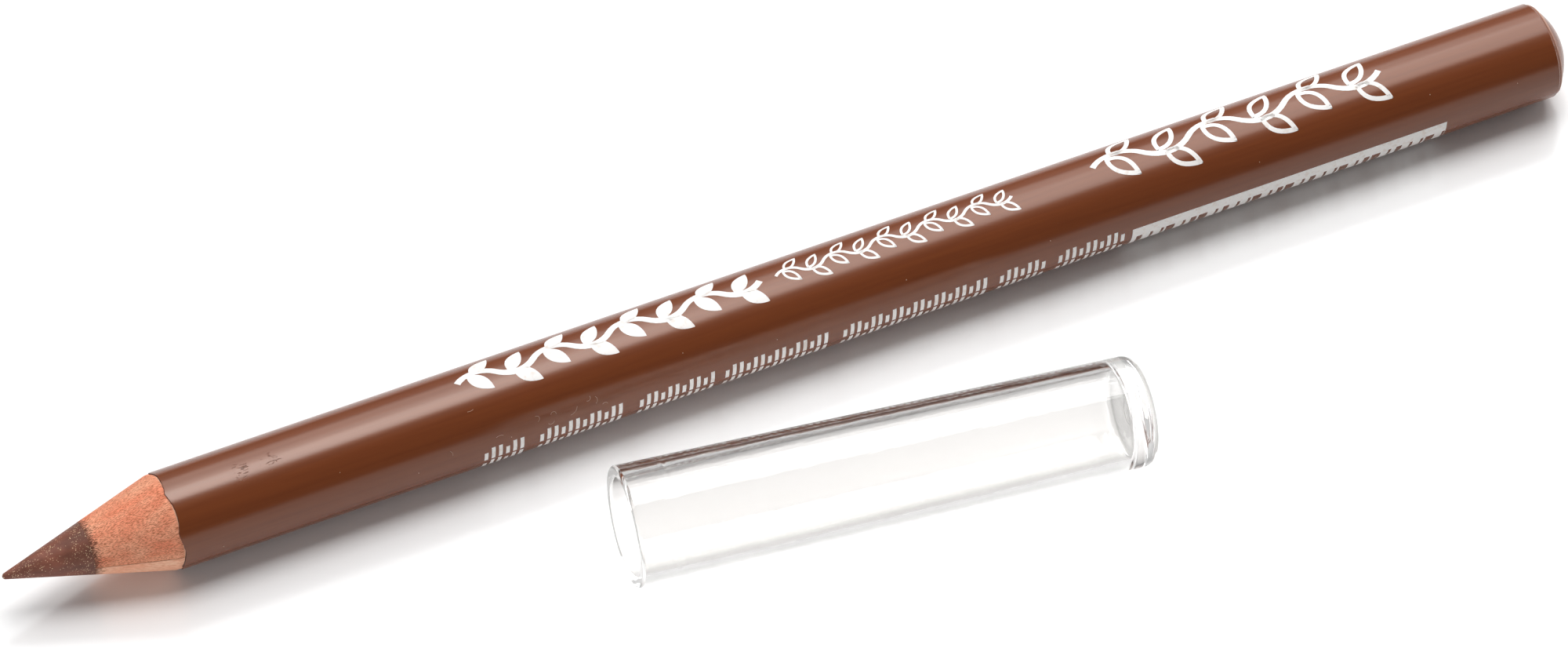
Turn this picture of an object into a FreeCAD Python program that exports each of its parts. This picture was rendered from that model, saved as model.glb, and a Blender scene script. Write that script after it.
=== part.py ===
"""Eyeliner pencil with its clear cap lying beside it.

Millimetres, +Z up. The pencil lies along X with its point towards -X, and the
origin is at the middle of the whole model's box, on the surface it lies on.

A soft cosmetic lead runs the whole length between two grooved wooden slats that
are glued together along a flat seam. A lacquer coat covers the barrel, and its
front edge is scalloped where the sharpened cone breaks through it. A domed dip
coat seals the other end. The cap is one clear moulding with a draughted outside,
a seat that slides over the barrel and a tapering bore beyond it.
"""
import FreeCAD, Part
import Sketcher
import math
import os
import re

# Every size that can be set by itself, in millimetres, degrees or copies.
SIZES = {
    # pencil
    "barrel_diameter": 7.5,
    "barrel_length": 113.8,  # lacquered barrel, from the cone's rim to the dome's rim
    "cone_length": 13.5,  # from the rim to where the cone would end in a sharp point
    "tip_radius": 0.25,
    "lead_diameter": 4.0,
    "coat_thickness": 0.16,
    "dome_height": 1.76,
    "dip_thickness": 0.15,
    "bead_size": 0.09,  # half the width of the bead that the dip leaves at its edge
    "bead_inset": 0.22,  # from the barrel's side to the bead's crest line
    "seam_roll": 3.5,
    # scalloped front edge of the lacquer
    "scallop_count": 7,
    "scallop_depth": 0.16,
    "scallop_roll": 35.7,  # from the top to the middle of the first arc
    "cusp_reach": 0.1,  # how far the points between arcs reach ahead of the rim
    # cap
    "cap_clearance": 0.03,  # between the barrel and the seat in the cap, all round
    "cap_wall": 0.83,
    "cap_length": 40.2,
    "cap_draft": 0.56,
    "cap_floor": 1.7,  # thickness of the closed end
    "ring_place": 3.4,  # from the mouth to the fine ring that the mould leaves in the seat
    "ring_width": 0.3,
    "ring_depth": 0.08,
    "seat_depth": 14.0,  # from the mouth to where the bore starts to narrow
    "edge_radius": 1.12,
    "core_radius": 0.6,
    "lip_size": 0.2,
    "gate_diameter": 1.8,
    "gate_depth": 0.22,
    "pip_diameter": 0.6,
    "pip_height": 0.12,
    # how the cap lies beside the pencil
    "cap_gap": 7.14,  # between the barrel's side and the cap's at its mouth
    "cap_setback": 30.0,  # from the cone's rim to the cap's mouth
    "cap_yaw": 7.58,
}

# Formulas in the sizes above. x runs along the pencil from the cone's rim, or
# along the cap from its mouth, and the other value is a radius.
BARREL = "(barrel_diameter / 2)"
LEAD = "(lead_diameter / 2)"
WOOD = f"({BARREL} - coat_thickness)"
TAPER = f"atan({BARREL} / cone_length)"
TIP_CENTRE = f"(tip_radius / sin({TAPER}) - cone_length)"
TIP_END = f"({TIP_CENTRE} - tip_radius)"
WOOD_RISE = "(dome_height - dip_thickness)"
WOOD_DOME = f"(({WOOD}^2 + {WOOD_RISE}^2) / (2 * {WOOD_RISE}))"
DIP_DOME = f"(({BARREL}^2 + dome_height^2) / (2 * dome_height))"
BACK_END = "(barrel_length + dome_height)"
SEAT = f"({BARREL} + cap_clearance)"
MOUTH = f"({SEAT} + cap_wall)"
CAP_SIDE = f"({MOUTH} - cap_length * tan(cap_draft))"
CAP_INSIDE = "(cap_length - cap_floor)"
BORE_END = f"({MOUTH} - {CAP_INSIDE} * tan(cap_draft) - cap_wall)"

# Where the pieces lie. The cap's axis dips by its draught, so its side lies flat.
CAP_SLANT = "(sin(cap_yaw) * cos(cap_draft))"
CAP_REACH = (
    f"((cap_length - edge_radius) * {CAP_SLANT} + edge_radius"
    f" + ({CAP_SIDE} + edge_radius * tan(cap_draft) - edge_radius) * sqrt(1 - {CAP_SLANT}^2))"
)
CAP_ASIDE = f"({BARREL} + cap_gap + {MOUTH})"
PENCIL_X = f"(-({BACK_END} + {TIP_END}) / 2)"
PENCIL_Y = f"(({CAP_ASIDE} + {CAP_REACH} - {BARREL}) / 2)"
PENCIL_PLACE = (PENCIL_X, PENCIL_Y, BARREL)
CAP_PLACE = (
    f"{PENCIL_X} + cap_setback",
    f"{PENCIL_Y} - {CAP_ASIDE}",
    f"{MOUTH} * cos(cap_draft)",
)


def cone_x(radius):
    """Formula for where the sharpened cone has this radius."""
    return f"(cone_length * ({radius} / {BARREL} - 1))"


def dome_x(dome, rise, radius):
    """Formula for where a dome of this ball radius and rise has this radius."""
    return f"(barrel_length + {rise} - {dome} + sqrt({dome}^2 - ({radius})^2))"


def in_sheet(formula):
    """Point each size in a formula at its cell; only sizes have an underscore."""
    return re.sub(r"[a-z]+(?:_[a-z]+)+", lambda name: "Sizes." + name[0], formula)


def value_of(doc, formula):
    result = doc.getObject("Sizes").evalExpression(in_sheet(formula))
    return float(getattr(result, "Value", result))


def make_sheet(doc):
    sheet = doc.addObject("Spreadsheet::Sheet", "Sizes")
    for row, (name, size) in enumerate(SIZES.items(), start=1):
        sheet.set(f"A{row}", name)
        sheet.set(f"B{row}", str(size))
        sheet.setAlias(f"B{row}", name)
    doc.recompute()


def new_body(doc, label, place, turn=("0", "0", "0")):
    """A body whose place and turns about Z, Y and X follow the sheet."""
    body = doc.addObject("PartDesign::Body", label)
    body.Label = label
    vector = "; ".join(place)
    turns = "; ".join(turn)
    body.setExpression(
        "Placement",
        in_sheet(f"create(<<placement>>; create(<<vector>>; {vector}); create(<<rotation>>; {turns}))"),
    )
    return body


def new_sketch(body, name, role):
    """A sketch on one of the body's own planes."""
    sketch = body.newObject("Sketcher::SketchObject", name)
    plane = next(f for f in body.Origin.OriginFeatures if f.Role == role)
    sketch.AttachmentSupport = [(plane, "")]
    sketch.MapMode = "FlatFace"
    return sketch


def drive(sketch, doc, geometry, point, corner):
    """Hold one point of a sketch at a pair of formulas."""
    for kind, formula in zip(("DistanceX", "DistanceY"), corner):
        size = value_of(doc, formula)
        index = sketch.addConstraint(
            Sketcher.Constraint(kind, -1, 1, geometry, point, size)
        )
        sketch.setExpression(f"Constraints[{index}]", in_sheet(formula))


def outline(doc, sketch, corners, arcs=()):
    """A closed outline through the corners, with arcs centred on the X axis where named."""
    spots = [FreeCAD.Vector(value_of(doc, x), value_of(doc, y), 0) for x, y in corners]
    ends = []
    for index, start in enumerate(spots):
        end = spots[(index + 1) % len(spots)]
        if index not in arcs:
            sketch.addGeometry(Part.LineSegment(start, end))
            ends.append((1, 2))
            continue
        middle = (end.dot(end) - start.dot(start)) / (2 * (end.x - start.x))
        centre = FreeCAD.Vector(middle, 0, 0)
        circle = Part.Circle(centre, FreeCAD.Vector(0, 0, 1), start.distanceToPoint(centre))
        angles = [math.atan2(spot.y, spot.x - middle) for spot in (start, end)]
        sketch.addGeometry(Part.ArcOfCircle(circle, min(angles), max(angles)))
        ends.append((1, 2) if angles[0] < angles[1] else (2, 1))
    for index, (first, last) in enumerate(ends):
        after = (index + 1) % len(ends)
        sketch.addConstraint(Sketcher.Constraint("Coincident", index, last, after, ends[after][0]))
        if index in arcs:
            sketch.addConstraint(Sketcher.Constraint("PointOnObject", index, 3, -1))
        drive(sketch, doc, index, first, corners[index])


def revolve(body, sketch, name, angle=360):
    turned = body.newObject("PartDesign::Revolution", name)
    turned.Profile = sketch
    turned.ReferenceAxis = (sketch, ["H_Axis"])
    turned.Angle = angle
    body.Document.recompute()
    return turned


def treat_edges(body, base, kind, name, size, rims):
    """Fillet or chamfer the circular edges at these places along X with these radii."""
    doc = body.Document
    wanted = [(value_of(doc, x), value_of(doc, radius)) for x, radius in rims]
    edges = [
        f"Edge{number}"
        for number, edge in enumerate(base.Shape.Edges, start=1)
        if isinstance(edge.Curve, Part.Circle)
        and any(
            abs(edge.Curve.Center.x - x) < 1e-6 and abs(edge.Curve.Radius - radius) < 1e-6
            for x, radius in wanted
        )
    ]
    if len(edges) != len(rims):
        raise RuntimeError(f"{name} found {len(edges)} of {len(rims)} edges")
    treated = body.newObject(f"PartDesign::{kind}", name)
    treated.Base = (base, edges)
    treated.setExpression("Radius" if kind == "Fillet" else "Size", in_sheet(size))
    doc.recompute()
    return treated


def make_lead(doc):
    """Soft lead, pointed with the wood and milled off with the dome at the back."""
    body = new_body(doc, "lead", PENCIL_PLACE)
    sketch = new_sketch(body, "LeadSection", "XY_Plane")
    corners = [
        (TIP_END, "0"),
        (f"{TIP_CENTRE} - tip_radius * sin({TAPER})", f"tip_radius * cos({TAPER})"),
        (cone_x(LEAD), LEAD),
        (dome_x(WOOD_DOME, WOOD_RISE, LEAD), LEAD),
        (f"barrel_length + {WOOD_RISE}", "0"),
    ]
    outline(doc, sketch, corners, arcs=(0, 3))
    revolve(body, sketch, "LeadRod")
    return body


def make_slat(doc, label, roll):
    """One half of the casing: a slat planed round outside and grooved for the lead."""
    body = new_body(doc, label, PENCIL_PLACE, turn=("0", "0", roll))
    sketch = new_sketch(body, "SlatSection", "XY_Plane")
    corners = [
        (cone_x(LEAD), LEAD),
        (cone_x(WOOD), WOOD),
        ("barrel_length", WOOD),
        (dome_x(WOOD_DOME, WOOD_RISE, LEAD), LEAD),
    ]
    outline(doc, sketch, corners, arcs=(2,))
    revolve(body, sketch, "GroovedSlat", angle=180)
    return body


def make_coat(doc):
    """Lacquer on the barrel; where the cone cuts it, arcs bite back between points."""
    body = new_body(doc, "lacquer_coat", PENCIL_PLACE)
    sketch = new_sketch(body, "CoatSection", "XY_Plane")
    corners = [
        (cone_x(WOOD), WOOD),
        ("0", BARREL),
        ("barrel_length", BARREL),
        ("barrel_length", WOOD),
    ]
    outline(doc, sketch, corners)
    sleeve = revolve(body, sketch, "CoatSleeve")
    scallop = bite_scallop(body)
    pattern = body.newObject("PartDesign::PolarPattern", "Scallops")
    pattern.Originals = [scallop]
    axis = next(f for f in body.Origin.OriginFeatures if f.Role == "X_Axis")
    pattern.Axis = (axis, [""])
    pattern.Angle = 360
    pattern.setExpression("Occurrences", in_sheet("scallop_count"))
    body.Tip = pattern
    doc.recompute()
    if not pattern.Shape.Volume < scallop.Shape.Volume < sleeve.Shape.Volume:
        raise RuntimeError("a scallop cuts nothing")
    return body


def bite_scallop(body):
    """Cut one arc of the coat's edge with a round cutter that points outwards."""
    doc = body.Document
    width = f"(2 * {BARREL} * sin(180 / scallop_count))"
    cutter = f"({width}^2 / (8 * scallop_depth) + scallop_depth / 2)"
    sketch = new_sketch(body, "ScallopCircle", "XY_Plane")
    sketch.setExpression("AttachmentOffset.Rotation.Angle", in_sheet("scallop_roll"))
    sketch.setExpression("AttachmentOffset.Rotation.Axis.x", "1")
    sketch.setExpression("AttachmentOffset.Rotation.Axis.z", "0")
    centre = (f"scallop_depth - cusp_reach - {cutter}", "0")
    spot = FreeCAD.Vector(value_of(doc, centre[0]), 0, 0)
    circle = Part.Circle(spot, FreeCAD.Vector(0, 0, 1), value_of(doc, cutter))
    sketch.addGeometry(circle)
    drive(sketch, doc, 0, 3, centre)
    index = sketch.addConstraint(Sketcher.Constraint("Radius", 0, circle.Radius))
    sketch.setExpression(f"Constraints[{index}]", in_sheet(cutter))
    pocket = body.newObject("PartDesign::Pocket", "Scallop")
    pocket.Profile = sketch
    pocket.Reversed = True
    pocket.setExpression("Length", in_sheet("barrel_diameter"))
    doc.recompute()
    return pocket


def make_dip(doc):
    """Dip coat over the milled dome, with the bead it leaves where it stops."""
    body = new_body(doc, "end_dip", PENCIL_PLACE)
    sketch = new_sketch(body, "DipSection", "XY_Plane")
    corners = [
        ("barrel_length", WOOD),
        ("barrel_length", BARREL),
        (BACK_END, "0"),
        (f"barrel_length + {WOOD_RISE}", "0"),
    ]
    outline(doc, sketch, corners, arcs=(1, 3))
    revolve(body, sketch, "DipShell")
    bead = new_sketch(body, "BeadSection", "XY_Plane")
    crest = f"({BARREL} - bead_inset)"
    middle = dome_x(DIP_DOME, "dome_height", crest)
    corners = [
        (f"{middle} - bead_size", crest),
        (middle, f"{crest} + bead_size"),
        (f"{middle} + bead_size", crest),
        (middle, f"{crest} - bead_size"),
    ]
    outline(doc, bead, corners)
    revolve(body, bead, "DipBead")
    return body


def make_cap(doc):
    """Clear moulded cap, opening at its own x = 0 and closed at the far end."""
    body = new_body(doc, "cap", CAP_PLACE, turn=("-cap_yaw", "cap_draft", "0"))
    sketch = new_sketch(body, "CapSection", "XY_Plane")
    gate_floor = "(cap_length - gate_depth)"
    corners = [
        ("0", SEAT),
        ("0", MOUTH),
        ("cap_length", CAP_SIDE),
        ("cap_length", "gate_diameter / 2"),
        (gate_floor, "gate_diameter / 2"),
        (gate_floor, "pip_diameter / 2"),
        (f"{gate_floor} + pip_height", "pip_diameter / 2"),
        (f"{gate_floor} + pip_height", "0"),
        (CAP_INSIDE, "0"),
        (CAP_INSIDE, BORE_END),
        ("seat_depth", SEAT),
        ("ring_place + ring_width / 2", SEAT),
        ("ring_place", f"{SEAT} + ring_depth"),
        ("ring_place - ring_width / 2", SEAT),
    ]
    outline(doc, sketch, corners)
    moulding = revolve(body, sketch, "CapMoulding")
    closed = treat_edges(
        body, moulding, "Fillet", "ClosedEdge", "edge_radius", [("cap_length", CAP_SIDE)]
    )
    core = treat_edges(
        body, closed, "Fillet", "CoreEdge", "core_radius", [(CAP_INSIDE, BORE_END)]
    )
    treat_edges(body, core, "Chamfer", "MouthLip", "lip_size", [("0", MOUTH), ("0", SEAT)])
    return body


def export(doc, bodies):
    """Stop on anything that failed, then write each piece to its own file."""
    doc.recompute()
    for item in doc.Objects:
        if "Invalid" in item.State or "Error" in item.State:
            raise RuntimeError(f"{item.Label} failed: {item.State}")
    for body in bodies:
        if body.Shape.isNull() or not body.Shape.isValid() or len(body.Shape.Solids) != 1:
            raise RuntimeError(f"{body.Label} is not one sound solid")
    os.makedirs("parts", exist_ok=True)
    for body in bodies:
        body.Shape.exportStep(f"parts/{body.Label}.step")


def main():
    doc = FreeCAD.newDocument("EyelinerPencil")
    make_sheet(doc)
    bodies = [
        make_lead(doc),
        make_slat(doc, "casing_upper_half", "seam_roll"),
        make_slat(doc, "casing_lower_half", "seam_roll + 180"),
        make_coat(doc),
        make_dip(doc),
        make_cap(doc),
    ]
    export(doc, bodies)


main()
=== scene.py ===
"""Looks of an eyeliner pencil and of the clear cap that lies beside it.

Metres in the row frame, +Z up. The pencil lies along X with its point towards
-X. Sizes below are millimetres and repeat those of the part's source.
"""

import logging
import math
from dataclasses import dataclass
from enum import Enum

import bmesh
import bpy
from mathutils import Matrix, Vector, noise


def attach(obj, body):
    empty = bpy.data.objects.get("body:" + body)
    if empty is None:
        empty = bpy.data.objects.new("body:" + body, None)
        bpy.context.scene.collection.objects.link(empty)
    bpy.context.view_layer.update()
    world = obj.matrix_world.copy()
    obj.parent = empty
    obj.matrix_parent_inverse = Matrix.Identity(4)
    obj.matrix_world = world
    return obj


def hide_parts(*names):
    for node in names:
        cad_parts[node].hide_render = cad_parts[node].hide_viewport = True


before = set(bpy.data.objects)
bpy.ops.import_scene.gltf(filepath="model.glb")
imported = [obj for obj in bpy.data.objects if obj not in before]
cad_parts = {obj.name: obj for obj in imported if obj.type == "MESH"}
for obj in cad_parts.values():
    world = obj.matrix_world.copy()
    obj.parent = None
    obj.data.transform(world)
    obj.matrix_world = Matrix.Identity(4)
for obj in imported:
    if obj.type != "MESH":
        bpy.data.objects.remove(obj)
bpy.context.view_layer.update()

MM = 0.001
STEPS = 144  # facets round everything that is turned
STEP_ANGLE = math.tau / STEPS
SHARP = math.radians(32)  # edges that fold more than this stay crisp
WELD = 0.0005 * MM  # vertices closer than this become one
FACES_FRONT = -0.6  # a face whose normal's x is below this looks to the pencil's point
FACES_ALONG = 0.6  # a lamp whose direction's x is above this shines along the pencil

BARREL_RADIUS = 3.75
LEAD_RADIUS = 2.0
CONE_LENGTH = 13.5  # from the lacquer's rim to where the cone would end in a point
RIM_X = -51.372  # the lacquer's rim, where the cone meets the barrel, in the row frame
LEAD_END_X = RIM_X + CONE_LENGTH * (LEAD_RADIUS / BARREL_RADIUS - 1)
AXIS_Y = 10.5528  # the pencil's axis in the row frame
SEAM_ROLL = 3.5  # degrees between the slats' glue seam and the level
CAP_YAW = 7.58  # degrees between the cap's axis and the pencil's

log = logging.getLogger("eyeliner_pencil")

Colour = tuple[float, float, float, float]
Spot = tuple[float, float, float]
Links = dict[str | int, bpy.types.NodeSocket]
Settings = dict[str | int, object]


def linear(code: str) -> Colour:
    """Turn an sRGB hex value to linear light.

    Args:
        code: The colour as "#RRGGBB".

    Returns:
        Red, green, blue and an alpha of 1.
    """
    parts = [int(code[i : i + 2], 16) / 255 for i in (1, 3, 5)]
    red, green, blue = (c / 12.92 if c <= 0.04045 else ((c + 0.055) / 1.055) ** 2.4 for c in parts)
    return (red, green, blue, 1.0)


def grey(value: float) -> Colour:
    """A grey of this linear level."""
    return (value, value, value, 1.0)


def add_node(
    tree: bpy.types.NodeTree,
    kind: str,
    settings: Settings | None = None,
    links: Links | None = None,
) -> bpy.types.Node:
    """Add a node with its settings and links.

    Args:
        tree: The node tree to add it to.
        kind: The node's type, without its "ShaderNode".
        settings: First its own attributes, then values for its inputs, by name or number. The
            "stops" of a colour ramp are its two places from 0 to 1 with their colours.
        links: Output sockets that feed its inputs, by the input's name or number.

    Returns:
        The new node.
    """
    node = tree.nodes.new("ShaderNode" + kind)
    for key, value in (settings or {}).items():
        if key == "stops":
            for element, (place, colour) in zip(node.color_ramp.elements, value):
                element.position = place
                element.color = colour
        elif isinstance(key, str) and hasattr(node, key):
            setattr(node, key, value)
        else:
            node.inputs[key].default_value = value
    for key, socket in (links or {}).items():
        tree.links.new(socket, node.inputs[key])
    return node


def draw_marks(
    tree: bpy.types.NodeTree,
    place: bpy.types.NodeSocket,
    size: tuple[float, float],
    character: Settings,
    turn: float = 0.0,
) -> bpy.types.NodeSocket:
    """Draw an uneven pattern of marks.

    Args:
        tree: The material's node tree.
        place: The object coordinates.
        size: The marks' length along X and their width, in millimetres.
        character: The noise's detail and the like.
        turn: How far the pattern is turned about Z, in degrees.

    Returns:
        The pattern's height from 0 to 1.
    """
    length, width = size
    scale = (1 / (length * MM), 1 / (width * MM), 1 / (width * MM))
    laid = {"Rotation": (0.0, 0.0, math.radians(turn)), "Scale": scale}
    marks = add_node(tree, "Mapping", laid, {"Vector": place}).outputs["Vector"]
    return add_node(tree, "TexNoise", {"Scale": 1.0, **character}, {"Vector": marks}).outputs["Fac"]


def lay_over(
    tree: bpy.types.NodeTree,
    colour: bpy.types.NodeSocket,
    layers: list[tuple[bpy.types.NodeSocket, str]],
) -> bpy.types.NodeSocket:
    """Lay tints over a colour, one on the other.

    Args:
        tree: The material's node tree.
        colour: The colour underneath.
        layers: How much of each tint covers what is under it, and the tint.

    Returns:
        The colour on top.
    """
    for share, tint in layers:
        colour = add_node(
            tree, "Mix", {"data_type": "RGBA", 7: linear(tint)}, {0: share, 6: colour}
        ).outputs[2]
    return colour


class Finish:
    """What all finishes share: a material with one Principled shader."""

    def begin(self, name: str) -> tuple[bpy.types.Material, bpy.types.Node]:
        """Start a material.

        Args:
            name: What the real material is.

        Returns:
            The material and its Principled shader.
        """
        material = bpy.data.materials.new(name)
        material.use_nodes = True
        return material, material.node_tree.nodes["Principled BSDF"]


@dataclass(frozen=True)
class GlossLacquer(Finish):
    """Nitrocellulose lacquer, built up by drawing the pencil through felt dies.

    The coats level to a gloss, but follow the wood's grain a little, so the
    reflection of a lamp has soft edges and faint streaks along the barrel. Where
    it is scuffed, it is dull and finely pitted.
    """

    name: str = "gloss_nitrocellulose_lacquer"
    colour: str = "#793E1F"
    streak: str = "#733A1D"
    roughness: float = 0.23
    ior: float = 1.5
    shine: str = "#FFF0E7"
    shine_level: float = 0.7
    streak_mm: tuple[float, float] = (9.0, 0.35)
    flow_mm: float = 0.02
    scuff: str = "#5E3018"
    scuffs: tuple[Spot, ...] = ((-45.4, 9.8, 7.4), (-42.9, 9.9, 7.4))
    scuff_reach: float = 1.3
    scuff_crowding: float = 0.3
    scuff_mm: tuple[float, float] = (0.4, 0.14)
    scuff_roughness: float = 0.45
    pit_mm: float = 0.03
    # The bead's pale line: a painted highlight on its crest, and partly rubbing from handling.
    bead_highlight_and_rubbing: str = "#B58B7A"
    bead_highlight_at: float | None = None
    bead_highlight_reach: tuple[float, float] = (0.06, 0.12)
    bead_highlight_show: float = 0.9

    def scuffed(
        self, tree: bpy.types.NodeTree, place: bpy.types.NodeSocket
    ) -> bpy.types.NodeSocket:
        """Mark the dull scuffs in the lacquer.

        Args:
            tree: The material's node tree.
            place: The object coordinates.

        Returns:
            1 on the scuffs and 0 elsewhere.
        """
        marks = draw_marks(tree, place, self.scuff_mm, {"Detail": 2.0, "Distortion": 0.6})
        for scuff in self.scuffs:
            centre = tuple(c * MM for c in scuff)
            away = add_node(
                tree, "VectorMath", {"operation": "DISTANCE", 1: centre}, {0: place}
            ).outputs["Value"]
            near = add_node(
                tree,
                "MapRange",
                {"From Max": self.scuff_reach * MM, "To Min": self.scuff_crowding, "To Max": 0.0},
                {"Value": away},
            ).outputs[0]
            marks = add_node(tree, "Math", {"operation": "ADD"}, {0: near, 1: marks}).outputs[0]
        return add_node(
            tree, "MapRange", {"From Min": 0.79, "From Max": 0.84}, {"Value": marks}
        ).outputs[0]

    def bead_highlight_and_rubbing_mask(
        self, tree: bpy.types.NodeTree, place: bpy.types.NodeSocket
    ) -> bpy.types.NodeSocket:
        """Mark the bead of the dip coat with a pale line: painted highlight and partly rubbing.

        Args:
            tree: The material's node tree.
            place: The object coordinates.

        Returns:
            How much of the bead's pale line shows, from 0 to 1.
        """
        x = add_node(tree, "SeparateXYZ", links={0: place}).outputs["X"]
        off = add_node(
            tree, "Math", {"operation": "SUBTRACT", 1: self.bead_highlight_at * MM}, {0: x}
        ).outputs[0]
        gap = add_node(tree, "Math", {"operation": "ABSOLUTE"}, {0: off}).outputs[0]
        near, far = self.bead_highlight_reach
        return add_node(
            tree,
            "MapRange",
            {"From Min": near * MM, "From Max": far * MM, "To Min": self.bead_highlight_show, "To Max": 0.0},
            {"Value": gap},
        ).outputs[0]

    def material(self) -> bpy.types.Material:
        """The lacquer on the barrel and on the dipped end."""
        material, shader = self.begin(self.name)
        tree = material.node_tree
        place = add_node(tree, "TexCoord").outputs["Object"]
        streaks = draw_marks(tree, place, self.streak_mm, {"Detail": 3.0, "Roughness": 0.5})
        colour = add_node(
            tree,
            "ValToRGB",
            {"stops": ((0.3, linear(self.streak)), (0.6, linear(self.colour)))},
            {"Fac": streaks},
        ).outputs["Color"]
        marks = self.scuffed(tree, place)
        # Scuffs, and on the bead a pale line that is painted highlight and partly rubbing.
        wear_and_highlight = [(marks, self.scuff)]
        if self.bead_highlight_at is not None:
            wear_and_highlight.append((self.bead_highlight_and_rubbing_mask(tree, place), self.bead_highlight_and_rubbing))
        tree.links.new(lay_over(tree, colour, wear_and_highlight), shader.inputs["Base Color"])
        dull = add_node(
            tree,
            "MapRange",
            {"To Min": self.roughness, "To Max": self.scuff_roughness},
            {"Value": marks},
        ).outputs[0]
        tree.links.new(dull, shader.inputs["Roughness"])
        shader.inputs["IOR"].default_value = self.ior
        shader.inputs["Specular Tint"].default_value = linear(self.shine)
        shader.inputs["Specular IOR Level"].default_value = self.shine_level
        flow = add_node(
            tree, "Bump", {"Strength": 0.06, "Distance": self.flow_mm * MM}, {"Height": streaks}
        ).outputs["Normal"]
        pits = add_node(
            tree,
            "Bump",
            {"invert": True, "Strength": 0.5, "Distance": self.pit_mm * MM},
            {"Height": marks, "Normal": flow},
        ).outputs["Normal"]
        tree.links.new(pits, shader.inputs["Normal"])
        return material


@dataclass(frozen=True)
class CutLacquer(Finish):
    """The lacquer's own thickness, where the sharpener's blade cut through it.

    A cut face has no gloss and shows the dark undercoat.
    """

    name: str = "cut_lacquer_edge"
    colour: str = "#4A2C28"
    dark: str = "#35211F"
    fleck_mm: tuple[float, float] = (0.2, 0.2)
    roughness: float = 0.7

    def material(self) -> bpy.types.Material:
        """The dark line at the front of the lacquer."""
        material, shader = self.begin(self.name)
        tree = material.node_tree
        place = add_node(tree, "TexCoord").outputs["Object"]
        flecks = draw_marks(tree, place, self.fleck_mm, {"Detail": 2.0})
        colour = add_node(
            tree,
            "ValToRGB",
            {"stops": ((0.35, linear(self.dark)), (0.7, linear(self.colour)))},
            {"Fac": flecks},
        ).outputs["Color"]
        tree.links.new(colour, shader.inputs["Base Color"])
        shader.inputs["Roughness"].default_value = self.roughness
        return material


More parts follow.
